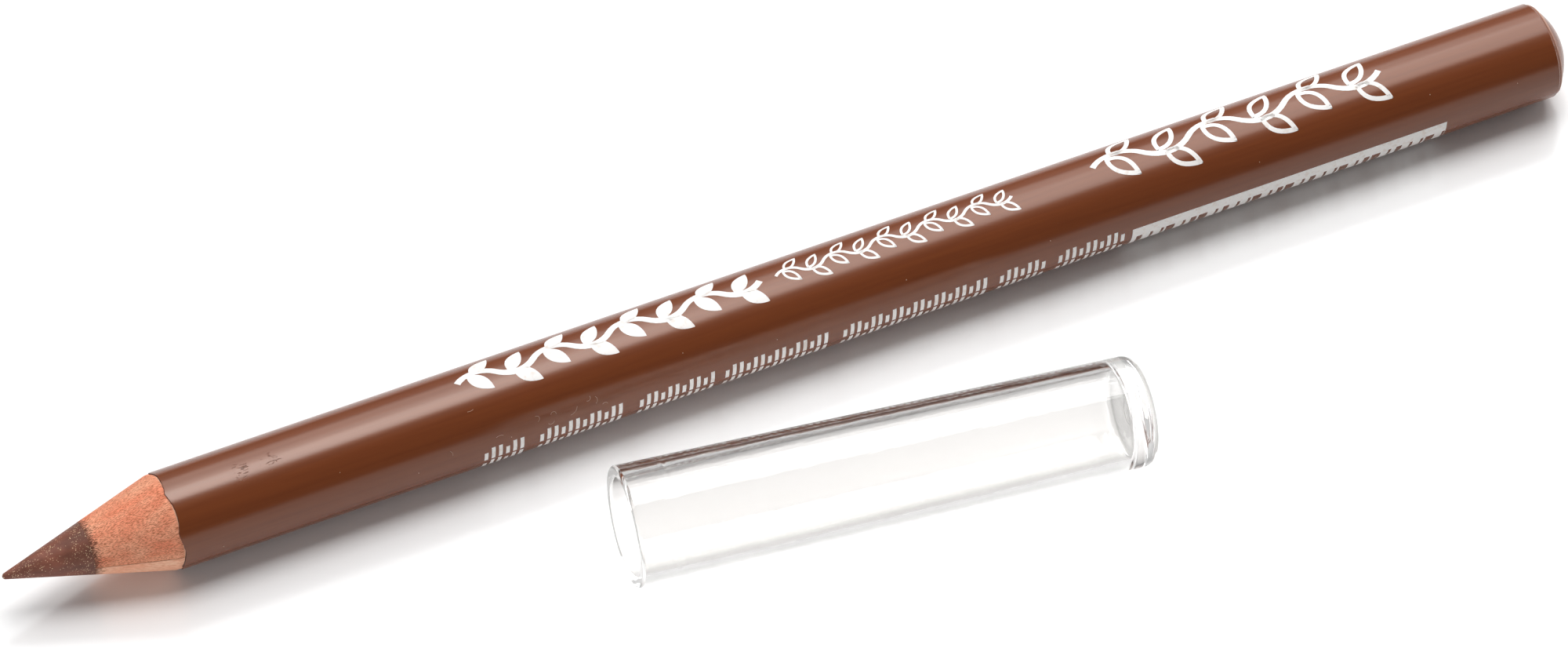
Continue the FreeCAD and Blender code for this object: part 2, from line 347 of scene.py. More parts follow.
@dataclass(frozen=True)
class SharpenedCedar(Finish):
    """Incense cedar, cut to a cone by a sharpener.

    The blade leaves the cut fibres as short dark dashes along the cone, and a
    nap that scatters light. Real fibres are about 0.03 mm wide, and they are
    drawn twice as wide or more, so that they show. The lead's pigment rubs off on
    its first half millimetre, and the edge under the lacquer is a little paler.
    Each reach is where the mark is full and where it ends, in millimetres.
    """

    name: str = "sharpened_cedar"
    pale: str = "#FFB996"
    warm: str = "#F99B78"
    dark: str = "#AE5A36"
    smudge: str = "#6A4234"
    edge: str = "#F6BE9E"
    seam: str = "#9C5438"
    roughness: float = 0.75
    shine_level: float = 0.25
    fibre_mm: tuple[float, float] = (0.34, 0.06)
    fibre_depth_mm: float = 0.04
    fibre_show: float = 0.85
    patch_mm: tuple[float, float] = (3.333, 1.111)
    smudge_reach: tuple[float, float] = (0.05, 0.6)
    smudge_ragged: float = 1.8
    edge_reach: tuple[float, float] = (0.02, 0.1)
    seam_reach: tuple[float, float] = (0.02, 0.06)
    seam_show: float = 0.8

    def body(
        self, tree: bpy.types.NodeTree, place: bpy.types.NodeSocket
    ) -> bpy.types.NodeSocket:
        """The wood's own colour in broad paler and warmer patches.

        Args:
            tree: The material's node tree.
            place: The object coordinates.

        Returns:
            The colour.
        """
        patches = draw_marks(tree, place, self.patch_mm, {"Detail": 2.0})
        return add_node(
            tree,
            "ValToRGB",
            {"stops": ((0.35, linear(self.warm)), (0.65, linear(self.pale)))},
            {"Fac": patches},
        ).outputs["Color"]

    def rubbed_lead(
        self, tree: bpy.types.NodeTree, x: bpy.types.NodeSocket, dashes: bpy.types.NodeSocket
    ) -> bpy.types.NodeSocket:
        """How much of the lead has rubbed off on the wood, raggedly along its fibres.

        Args:
            tree: The material's node tree.
            x: The place along the pencil.
            dashes: The fibres' noise.

        Returns:
            1 next to the lead and 0 past its reach.
        """
        ragged = add_node(
            tree,
            "Math",
            {
                "operation": "MULTIPLY_ADD",
                1: self.smudge_ragged * MM,
                2: -self.smudge_ragged / 2 * MM,
            },
            {0: dashes},
        ).outputs[0]
        reach = add_node(tree, "Math", {"operation": "ADD"}, {0: x, 1: ragged}).outputs[0]
        near, far = self.smudge_reach
        return add_node(
            tree,
            "MapRange",
            {
                "From Min": (LEAD_END_X + near) * MM,
                "From Max": (LEAD_END_X + far) * MM,
                "To Min": 1.0,
                "To Max": 0.0,
            },
            {"Value": reach},
        ).outputs[0]

    def seam_line(
        self, tree: bpy.types.NodeTree, place: bpy.types.NodeSocket
    ) -> bpy.types.NodeSocket:
        """The glue line between the two slats.

        Args:
            tree: The material's node tree.
            place: The object coordinates.

        Returns:
            How much of the line shows, from 0 to 1.
        """
        roll = math.radians(SEAM_ROLL)
        height = add_node(
            tree,
            "VectorMath",
            {"operation": "SUBTRACT", 1: (0.0, AXIS_Y * MM, BARREL_RADIUS * MM)},
            {0: place},
        ).outputs["Vector"]
        off = add_node(
            tree,
            "VectorMath",
            {"operation": "DOT_PRODUCT", 1: (0.0, -math.sin(roll), math.cos(roll))},
            {0: height},
        ).outputs["Value"]
        away = add_node(tree, "Math", {"operation": "ABSOLUTE"}, {0: off}).outputs[0]
        near, far = self.seam_reach
        return add_node(
            tree,
            "MapRange",
            {"From Min": near * MM, "From Max": far * MM, "To Min": self.seam_show, "To Max": 0.0},
            {"Value": away},
        ).outputs[0]

    def material(self) -> bpy.types.Material:
        """The bare wood of the cone."""
        material, shader = self.begin(self.name)
        tree = material.node_tree
        place = add_node(tree, "TexCoord").outputs["Object"]
        x = add_node(tree, "SeparateXYZ", links={0: place}).outputs["X"]
        dashes = draw_marks(tree, place, self.fibre_mm, {"Detail": 2.0, "Roughness": 0.6})
        fibres = add_node(
            tree,
            "ValToRGB",
            {"stops": ((0.35, grey(self.fibre_show)), (0.58, grey(0.0)))},
            {"Fac": dashes},
        ).outputs["Color"]
        near, far = self.edge_reach
        under_lacquer = add_node(
            tree,
            "MapRange",
            {"From Min": (RIM_X + near) * MM, "From Max": (RIM_X + far) * MM},
            {"Value": x},
        ).outputs[0]
        layers = [
            (fibres, self.dark),
            (self.rubbed_lead(tree, x, dashes), self.smudge),
            (under_lacquer, self.edge),
            (self.seam_line(tree, place), self.seam),
        ]
        colour = lay_over(tree, self.body(tree, place), layers)
        tree.links.new(colour, shader.inputs["Base Color"])
        shader.inputs["Roughness"].default_value = self.roughness
        shader.inputs["Specular IOR Level"].default_value = self.shine_level
        nap = add_node(
            tree,
            "Bump",
            {"Strength": 0.6, "Distance": self.fibre_depth_mm * MM},
            {"Height": dashes},
        ).outputs["Normal"]
        tree.links.new(nap, shader.inputs["Normal"])
        return material


@dataclass(frozen=True)
class CosmeticLead(Finish):
    """Wax and pigment lead with mica, pressed and then sharpened.

    It is soft and nearly matt, and the mica shows as pale gold points. They are
    drawn 0.07 mm wide, the coarse end of the real ones, so that they show.
    """

    name: str = "wax_lead_with_mica"
    colour: str = "#8C5240"
    shade: str = "#6E3F30"
    mica: str = "#FFDCB0"
    # Painted shade, darkening the lead where it meets the wood.
    painted_border_shade: str = "#583324"
    roughness: float = 0.5
    painted_border_shade_reach: float = 1.9
    painted_border_shade_show: float = 0.55
    smear_mm: tuple[float, float] = (2.0, 0.667)
    smear_depth_mm: float = 0.03
    flake_spacing_mm: float = 0.105
    flake_size: float = 0.35
    flake_share: float = 0.9
    flake_least: float = 0.12
    crowd_mm: tuple[float, float] = (0.9, 0.9)

    def flakes(
        self, tree: bpy.types.NodeTree, place: bpy.types.NodeSocket
    ) -> bpy.types.NodeSocket:
        """Scatter the mica flakes, more in some spots than in others.

        Args:
            tree: The material's node tree.
            place: The object coordinates.

        Returns:
            How much each flake shows, from 0 to 1.
        """
        cells = add_node(
            tree, "TexVoronoi", {"Scale": 1 / (self.flake_spacing_mm * MM)}, {"Vector": place}
        )
        near = add_node(
            tree,
            "Math",
            {"operation": "LESS_THAN", 1: self.flake_size},
            {0: cells.outputs["Distance"]},
        ).outputs[0]
        pick = add_node(tree, "SeparateColor", links={0: cells.outputs["Color"]})
        crowd = draw_marks(tree, place, self.crowd_mm, {"Detail": 1.0})
        share = add_node(
            tree,
            "MapRange",
            {
                "From Min": 0.35,
                "From Max": 0.65,
                "To Min": self.flake_least,
                "To Max": self.flake_share,
            },
            {"Value": crowd},
        ).outputs[0]
        chosen = add_node(
            tree, "Math", {"operation": "LESS_THAN"}, {0: pick.outputs[0], 1: share}
        ).outputs[0]
        catch = add_node(tree, "Math", {"operation": "POWER", 1: 2.0}, {0: pick.outputs[1]})
        flake = near
        for part in (chosen, catch.outputs[0]):
            flake = add_node(tree, "Math", {"operation": "MULTIPLY"}, {0: flake, 1: part}).outputs[0]
        return flake

    def material(self) -> bpy.types.Material:
        """The brown lead with its mica."""
        material, shader = self.begin(self.name)
        tree = material.node_tree
        place = add_node(tree, "TexCoord").outputs["Object"]
        smears = draw_marks(tree, place, self.smear_mm, {"Detail": 3.0})
        colour = add_node(
            tree,
            "ValToRGB",
            {"stops": ((0.3, linear(self.shade)), (0.65, linear(self.colour)))},
            {"Fac": smears},
        ).outputs["Color"]
        x = add_node(tree, "SeparateXYZ", links={0: place}).outputs["X"]
        # Painted shade: the lead darkens over its last stretch towards the wood.
        painted_shade_near_wood = add_node(
            tree,
            "MapRange",
            {
                "From Min": (LEAD_END_X - self.painted_border_shade_reach) * MM,
                "From Max": LEAD_END_X * MM,
                "To Max": self.painted_border_shade_show,
            },
            {"Value": x},
        ).outputs[0]
        layers = [(painted_shade_near_wood, self.painted_border_shade), (self.flakes(tree, place), self.mica)]
        tree.links.new(lay_over(tree, colour, layers), shader.inputs["Base Color"])
        shader.inputs["Roughness"].default_value = self.roughness
        relief = add_node(
            tree,
            "Bump",
            {"Strength": 0.4, "Distance": self.smear_depth_mm * MM},
            {"Height": smears},
        ).outputs["Normal"]
        tree.links.new(relief, shader.inputs["Normal"])
        return material


@dataclass(frozen=True)
class PadInk(Finish):
    """Opaque white ink, laid on by a pad: nearly matt, a little thin in spots."""

    name: str = "white_pad_ink"
    colour: str = "#FCF9F6"
    thin: str = "#EFE6DF"
    spot_mm: tuple[float, float] = (0.5, 0.5)
    roughness: float = 0.45

    def material(self) -> bpy.types.Material:
        """The white print."""
        material, shader = self.begin(self.name)
        tree = material.node_tree
        place = add_node(tree, "TexCoord").outputs["Object"]
        cover = draw_marks(tree, place, self.spot_mm, {"Detail": 3.0})
        colour = add_node(
            tree,
            "ValToRGB",
            {"stops": ((0.3, linear(self.thin)), (0.45, linear(self.colour)))},
            {"Fac": cover},
        ).outputs["Color"]
        tree.links.new(colour, shader.inputs["Base Color"])
        shader.inputs["Roughness"].default_value = self.roughness
        return material


@dataclass(frozen=True)
class CottonLint(Finish):
    """Lint and dust: pale, dull fibres that have settled on the lacquer."""

    name: str = "cotton_lint"
    colour: str = "#C8A48E"
    roughness: float = 0.9

    def material(self) -> bpy.types.Material:
        """The fibres and specks."""
        material, shader = self.begin(self.name)
        shader.inputs["Base Color"].default_value = linear(self.colour)
        shader.inputs["Roughness"].default_value = self.roughness
        return material


@dataclass(frozen=True)
class ClearStyrene(Finish):
    """General purpose polystyrene, injection moulded in a polished mould.

    It is as clear as glass and darkens where the eye meets it at a slant: painted
    shade for the dark reflections there, and partly the longer path through the
    wall. It has faint flow and drag streaks along it. Lamps shine through it, so
    its shadow stays pale.
    """

    name: str = "clear_polystyrene"
    face_on: str = "#F1F0EF"
    # Painted shade: the colour it darkens to where the surface is slanted to the eye.
    edge_on_painted_shade: str = "#A3A3A2"
    ior: float = 1.59
    roughness: float = 0.02
    passed: float = 0.93
    mirrorings: int = 3
    drag_mm: tuple[float, float] = (14.286, 0.3846)
    drag_depth_mm: float = 0.02

    def pass_light(self, tree: bpy.types.NodeTree, shader: bpy.types.Node) -> None:
        """Let lamps shine through, and free light that is mirrored about inside the wall.

        Args:
            tree: The material's node tree.
            shader: Its Principled shader.
        """
        rays = add_node(tree, "LightPath")
        trapped = add_node(
            tree,
            "Math",
            {"operation": "GREATER_THAN", 1: self.mirrorings - 0.5},
            {0: rays.outputs["Glossy Depth"]},
        ).outputs[0]
        freed = add_node(
            tree,
            "Math",
            {"operation": "MAXIMUM"},
            {0: rays.outputs["Is Shadow Ray"], 1: trapped},
        ).outputs[0]
        through = add_node(tree, "BsdfTransparent", {"Color": grey(self.passed)}).outputs[0]
        mixed = add_node(
            tree, "MixShader", links={0: freed, 1: shader.outputs["BSDF"], 2: through}
        ).outputs[0]
        tree.links.new(mixed, tree.nodes["Material Output"].inputs["Surface"])

    def material(self) -> bpy.types.Material:
        """The clear moulding."""
        material, shader = self.begin(self.name)
        tree = material.node_tree
        place = add_node(tree, "TexCoord").outputs["Object"]
        # Painted shade towards the silhouettes, mixed in by how slanted the surface is to the eye.
        slant = add_node(tree, "LayerWeight", {"Blend": 0.5}).outputs["Facing"]
        tint = add_node(
            tree,
            "ValToRGB",
            {"stops": ((0.3, linear(self.face_on)), (0.6, linear(self.edge_on_painted_shade)))},
            {"Fac": slant},
        ).outputs["Color"]
        tree.links.new(tint, shader.inputs["Base Color"])
        shader.inputs["Transmission Weight"].default_value = 1.0
        shader.inputs["Roughness"].default_value = self.roughness
        shader.inputs["IOR"].default_value = self.ior
        drag = draw_marks(tree, place, self.drag_mm, {"Detail": 3.0}, CAP_YAW)
        streaks = add_node(
            tree,
            "Bump",
            {"Strength": 0.3, "Distance": self.drag_depth_mm * MM},
            {"Height": drag},
        ).outputs["Normal"]
        tree.links.new(streaks, shader.inputs["Normal"])
        self.pass_light(tree, shader)
        return material


@dataclass(frozen=True)
class WhiteAcrylic(Finish):
    """The polished white sheet that the object lies on.

    A faint glow of its own, for the eye, in gloss and through clear plastic,
    takes it to white under the lamps, and it keeps the object's shadow.
    """

    name: str = "white_acrylic_sheet"
    colour: str = "#FAFAFA"
    roughness: float = 0.16
    shine_level: float = 0.8
    lift: float = 0.01

    def material(self) -> bpy.types.Material:
        """The floor."""
        material, shader = self.begin(self.name)
        tree = material.node_tree
        shader.inputs["Base Color"].default_value = linear(self.colour)
        shader.inputs["Roughness"].default_value = self.roughness
        shader.inputs["Specular IOR Level"].default_value = self.shine_level
        shader.inputs["Emission Color"].default_value = grey(1.0)
        rays = add_node(tree, "LightPath").outputs
        seen = rays["Is Camera Ray"]
        for way in ("Is Glossy Ray", "Is Transmission Ray"):
            seen = add_node(tree, "Math", {"operation": "MAXIMUM"}, {0: seen, 1: rays[way]}).outputs[0]
        glow = add_node(tree, "Math", {"operation": "MULTIPLY", 1: self.lift}, {0: seen})
        tree.links.new(glow.outputs[0], shader.inputs["Emission Strength"])
        return material


class Outline:
    """A wire in the XZ plane, x along the piece and z its radius, to be turned about X."""

    def __init__(self, corners: list[tuple[float, float]], closed: bool) -> None:
        """Lay out the wire.

        Args:
            corners: x and radius of each corner in millimetres, in order.
            closed: Whether the last corner joins the first.
        """
        self.bm = bmesh.new()
        verts = [self.bm.verts.new((x * MM, 0.0, r * MM)) for x, r in corners]
        pairs = list(zip(verts, verts[1:]))
        if closed:
            pairs.append((verts[-1], verts[0]))
        for pair in pairs:
            self.bm.edges.new(pair)

    def corner(self, x: float, r: float) -> bmesh.types.BMVert:
        """The wire's vertex nearest to a place in millimetres."""
        spot = Vector((x * MM, 0.0, r * MM))
        return min(self.bm.verts, key=lambda v: (v.co - spot).length_squared)

    def round_off(self, x: float, r: float, radius: float, segments: int) -> None:
        """Round a corner to an arc.

        Args:
            x: The corner's place along the piece, in millimetres.
            r: The corner's radius, in millimetres.
            radius: The arc's own radius, in millimetres.
            segments: How many straight parts the arc has.
        """
        vert = self.corner(x, r)
        first, second = (e.other_vert(vert).co - vert.co for e in vert.link_edges)
        turn = math.pi - first.angle(second)
        bmesh.ops.bevel(
            self.bm,
            geom=[vert],
            offset=radius * MM * math.tan(turn / 2),
            offset_type="OFFSET",
            segments=segments,
            profile=0.5,
            affect="VERTICES",
            material=-1,
        )

    def dome(self, x: float, r: float, ball: float, segments: int) -> None:
        """Carry the wire on along a ball centred on the axis, from a corner to the axis.

        Args:
            x: The corner's place along the piece, in millimetres.
            r: The corner's radius, in millimetres.
            ball: The ball's radius, in millimetres.
            segments: How many straight parts the arc has.
        """
        centre = x - math.sqrt(ball**2 - r**2)
        bmesh.ops.spin(
            self.bm,
            geom=[self.corner(x, r)],
            cent=(centre * MM, 0.0, 0.0),
            axis=(0.0, 1.0, 0.0),
            angle=math.asin(r / ball),
            steps=segments,
        )

    def hold(self, reach: float = 0.04, least: float = 0.3) -> None:
        """Divide each long run near both its ends, so that it shades straight.

        Args:
            reach: How far from the ends, in millimetres.
            least: Runs shorter than this stay whole, in millimetres.
        """
        for edge in list(self.bm.edges):
            length = edge.calc_length()
            if length < least * MM:
                continue
            start, end = edge.verts
            _, middle = bmesh.utils.edge_split(edge, start, reach * MM / length)
            rest = next(e for e in middle.link_edges if end in e.verts)
            bmesh.utils.edge_split(rest, end, reach * MM / rest.calc_length())

    def turn(self, angle: float = math.tau) -> bmesh.types.BMesh:
        """Turn the wire about X into a closed shell.

        Args:
            angle: How far it is turned; less than a full turn is closed by flat faces.

        Returns:
            The shell, with its normals outwards.
        """
        self.hold()
        bm = self.bm
        whole = angle == math.tau
        bmesh.ops.spin(
            bm,
            geom=list(bm.verts) + list(bm.edges),
            cent=(0.0, 0.0, 0.0),
            axis=(-1.0, 0.0, 0.0),
            angle=angle,
            steps=round(angle / STEP_ANGLE),
            use_merge=whole,
        )
        bmesh.ops.remove_doubles(bm, verts=bm.verts, dist=WELD)
        if not whole:
            rims = [e for e in bm.edges if e.is_boundary]
            bmesh.ops.holes_fill(bm, edges=rims, sides=0)
        bmesh.ops.recalc_face_normals(bm, faces=bm.faces)
        return bm


class Slot(Enum):
    """Names of the finishes."""

    LEAD = "lead"
    CEDAR = "cedar"
    LACQUER = "lacquer"
    DIP = "dip"
    CLEAR_CAP = "clear_cap"


def absorb(bm: bmesh.types.BMesh, other: bmesh.types.BMesh, name: str) -> None:
    """Move the whole of one mesh into another.

    Args:
        bm: The mesh that takes it in.
        other: The mesh that is used up.
        name: What the carried part is.
    """
    carried = bpy.data.meshes.new(name)
    other.to_mesh(carried)
    other.free()
    bm.from_mesh(carried)
    bpy.data.meshes.remove(carried)


def add_piece(
    name: str,
    bm: bmesh.types.BMesh,
    materials: list[bpy.types.Material],
    nodes: tuple[str, ...] = (),
) -> bpy.types.Object:
    """Make a piece of the object from a finished mesh.

    Args:
        name: The piece's name.
        bm: Its mesh in the row frame; it is used up.
        materials: Its materials, in the order of the faces' material numbers.
        nodes: The CAD nodes that it stands for.

    Returns:
        The new object.
    """
    for face in bm.faces:
        face.smooth = True
    for edge in bm.edges:
        if len(edge.link_faces) == 2 and edge.calc_face_angle(0.0) > SHARP:
            edge.smooth = False
    mesh = bpy.data.meshes.new(name)
    bm.to_mesh(mesh)
    bm.free()
    for material in materials:
        mesh.materials.append(material)
    piece = bpy.data.objects.new(name, mesh)
    bpy.context.scene.collection.objects.link(piece)
    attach(piece, "root")
    if nodes:
        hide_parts(*nodes)
    log.info("%s: %d faces", name, len(mesh.polygons))
    return piece


@dataclass
class Pencil:
    """The pencil: lead, two glued slats, lacquer and the dipped end. x is from the rim.

    The lacquer's edge is ragged by rags, each a height and how closely it repeats.
    """

    radius: float = BARREL_RADIUS
    barrel_length: float = 113.8
    cone_length: float = CONE_LENGTH
    tip_radius: float = 0.25
    lead_radius: float = LEAD_RADIUS
    coat: float = 0.16
    coat_at_rim: float = 0.085
    lip: float = 0.5
    lip_edge: float = 0.03
    dome_height: float = 1.76
    dip: float = 0.15
    bead_size: float = 0.09
    bead_inset: float = 0.22
    seam_roll: float = SEAM_ROLL
    scallops: int = 7
    scallop_depth: float = 0.24
    scallop_roll: float = 35.7
    cusp_reach: float = 0.1
    rags: tuple[tuple[float, float], ...] = ((0.05, 5.0), (0.035, 14.0))
    rim_x: float = RIM_X
    axis_y: float = AXIS_Y

    @property
    def wood(self) -> float:
        """The slats' radius under the lacquer."""
        return self.radius - self.coat

    @property
    def wood_at_rim(self) -> float:
        """The slats' radius where the cone ends, close under the sharpened lacquer."""
        return self.radius - self.coat_at_rim

    @property
    def taper(self) -> float:
        """Half the cone's angle."""
        return math.atan(self.radius / self.cone_length)

    @property
    def place(self) -> Matrix:
        """From the pencil's own axis to the row frame."""
        return Matrix.Translation((self.rim_x * MM, self.axis_y * MM, self.radius * MM))

    def cone_x(self, radius: float) -> float:
        """Where the cone has this radius."""
        return self.cone_length * (radius / self.radius - 1)

    @property
    def wood_rise(self) -> float:
        """How far the milled wood dome stands past the barrel's end."""
        return self.dome_height - self.dip

    @property
    def wood_ball(self) -> float:
        """The radius of the ball that the milled wood dome is part of."""
        return (self.wood**2 + self.wood_rise**2) / (2 * self.wood_rise)

    @property
    def dip_ball(self) -> float:
        """The radius of the ball that the dip coat's dome is part of."""
        return (self.radius**2 + self.dome_height**2) / (2 * self.dome_height)

    def dome_x(self, ball: float, rise: float, radius: float) -> float:
        """Where a dome of this ball and rise has this radius."""
        return self.barrel_length + rise - ball + math.sqrt(ball**2 - radius**2)

    def build_lead(self, finish: CosmeticLead) -> None:
        """Build the lead, pointed in front and milled round with the dome behind."""
        dome = self.dome_x(self.wood_ball, self.wood_rise, self.lead_radius)
        tip_middle = self.tip_radius / math.sin(self.taper) - self.cone_length
        touch = tip_middle - self.tip_radius * math.sin(self.taper)
        touch_radius = self.tip_radius * math.cos(self.taper)
        outline = Outline(
            [
                (touch, touch_radius),
                (self.cone_x(self.lead_radius), self.lead_radius),
                (dome, self.lead_radius),
            ],
            closed=False,
        )
        outline.dome(dome, self.lead_radius, self.wood_ball, 12)
        bmesh.ops.spin(
            outline.bm,
            geom=[outline.corner(touch, touch_radius)],
            cent=(tip_middle * MM, 0.0, 0.0),
            axis=(0.0, -1.0, 0.0),
            angle=math.pi / 2 - self.taper,
            steps=8,
        )
        bm = outline.turn()
        bmesh.ops.transform(bm, matrix=self.place, verts=bm.verts)
        add_piece("wax_lead", bm, [finish.material()], ("lead",))

    def build_slats(self, upper: SharpenedCedar, lower: SharpenedCedar) -> None:
        """Build the two halves of the casing, glued along the seam.

        Args:
            upper: The finish of the upper slat.
            lower: The finish of the lower slat, whose grain is closer.
        """
        dome = self.dome_x(self.wood_ball, self.wood_rise, self.lead_radius)
        for name, node, turn, finish in (
            ("upper_slat", "casing_upper_half", 0.0, upper),
            ("lower_slat", "casing_lower_half", 180.0, lower),
        ):
            outline = Outline(
                [
                    (self.cone_x(self.lead_radius), self.lead_radius),
                    (self.cone_x(self.wood_at_rim), self.wood_at_rim),
                    (self.barrel_length, self.wood),
                    (dome, self.lead_radius),
                ],
                closed=True,
            )
            bm = outline.turn(math.pi)
            roll = Matrix.Rotation(math.radians(self.seam_roll + turn + 90.0), 4, "X")
            bmesh.ops.transform(bm, matrix=self.place @ roll, verts=bm.verts)
            add_piece(name, bm, [finish.material()], (node,))

    def scallop_x(self, angle: float) -> float:
        """Where the lacquer's edge lies at an angle about the axis, from the rim.

        Args:
            angle: The angle from the top towards the viewer's side, in radians.

        Returns:
            Millimetres from the rim, with a little raggedness.
        """
        pitch = math.tau / self.scallops
        off = (angle - math.radians(self.scallop_roll) + pitch / 2) % pitch - pitch / 2
        width = 2 * self.radius * math.sin(pitch / 2)
        cutter = width**2 / (8 * self.scallop_depth) + self.scallop_depth / 2
        across = self.radius * math.sin(off)
        middle = self.scallop_depth - self.cusp_reach - cutter
        around = Vector((math.cos(angle), math.sin(angle), 0.0))
        ragged = sum(height * noise.noise(around * count) for height, count in self.rags)
        return middle + math.sqrt(cutter**2 - across**2) + ragged

    def build_coat(self, lacquer: GlossLacquer, cut: CutLacquer) -> None:
        """Build the lacquer, whose front edge is a row of shallow arcs."""
        outline = Outline(
            [
                (0.0, self.wood_at_rim),
                (0.0, self.radius),
                (self.lip, self.radius),
                (self.barrel_length, self.radius),
                (self.barrel_length, self.wood),
            ],
            closed=True,
        )
        outline.round_off(0.0, self.radius, self.lip_edge, 3)
        bm = outline.turn()
        for vert in bm.verts:
            if vert.co.x < self.lip / 2 * MM:
                angle = math.atan2(-vert.co.y, vert.co.z)
                vert.co.x += self.scallop_x(angle) * MM
        bm.normal_update()
        for face in bm.faces:
            if face.normal.x < FACES_FRONT:
                face.material_index = 1
        bmesh.ops.transform(bm, matrix=self.place, verts=bm.verts)
        finishes = [lacquer.material(), cut.material()]
        add_piece("barrel_lacquer", bm, finishes, ("lacquer_coat",))

    def build_dip(self, lacquer: GlossLacquer) -> None:
        """Build the dip coat over the dome, with the bead where it stops."""
        outline = Outline(
            [(self.barrel_length, self.wood), (self.barrel_length, self.radius)], closed=False
        )
        outline.dome(self.barrel_length, self.radius, self.dip_ball, 32)
        inner = Outline([(self.barrel_length, self.wood)], closed=False)
        inner.dome(self.barrel_length, self.wood, self.wood_ball, 24)
        bm = outline.turn()
        shell = inner.turn()
        bmesh.ops.reverse_faces(shell, faces=shell.faces)
        absorb(bm, shell, "dip_inside")
        bmesh.ops.remove_doubles(bm, verts=bm.verts, dist=WELD)
        bmesh.ops.recalc_face_normals(bm, faces=bm.faces)
        crest = self.radius - self.bead_inset
        middle = self.dome_x(self.dip_ball, self.dome_height, crest)
        ring = Outline([], closed=False)
        bmesh.ops.create_circle(
            ring.bm,
            segments=12,
            radius=self.bead_size * MM,
            matrix=Matrix.Translation((middle * MM, 0.0, crest * MM))
            @ Matrix.Rotation(math.pi / 2, 4, "X"),
        )
        absorb(bm, ring.turn(), "bead")
        bmesh.ops.transform(bm, matrix=self.place, verts=bm.verts)
        add_piece("dipped_end", bm, [lacquer.material()], ("end_dip",))


class LeafKind(Enum):
    """How an ornament's leaves are printed."""

    SOLID = "solid"
    OPEN = "open"


@dataclass
class Vine:
    """One stretch of printed ornament: a waving stem with two leaves in each bend."""

    start: float
    length: float
    bends: int
    rise: float
    stroke: float
    leaf_length: float
    leaf_width: float
    leaves: LeafKind
    middle: float


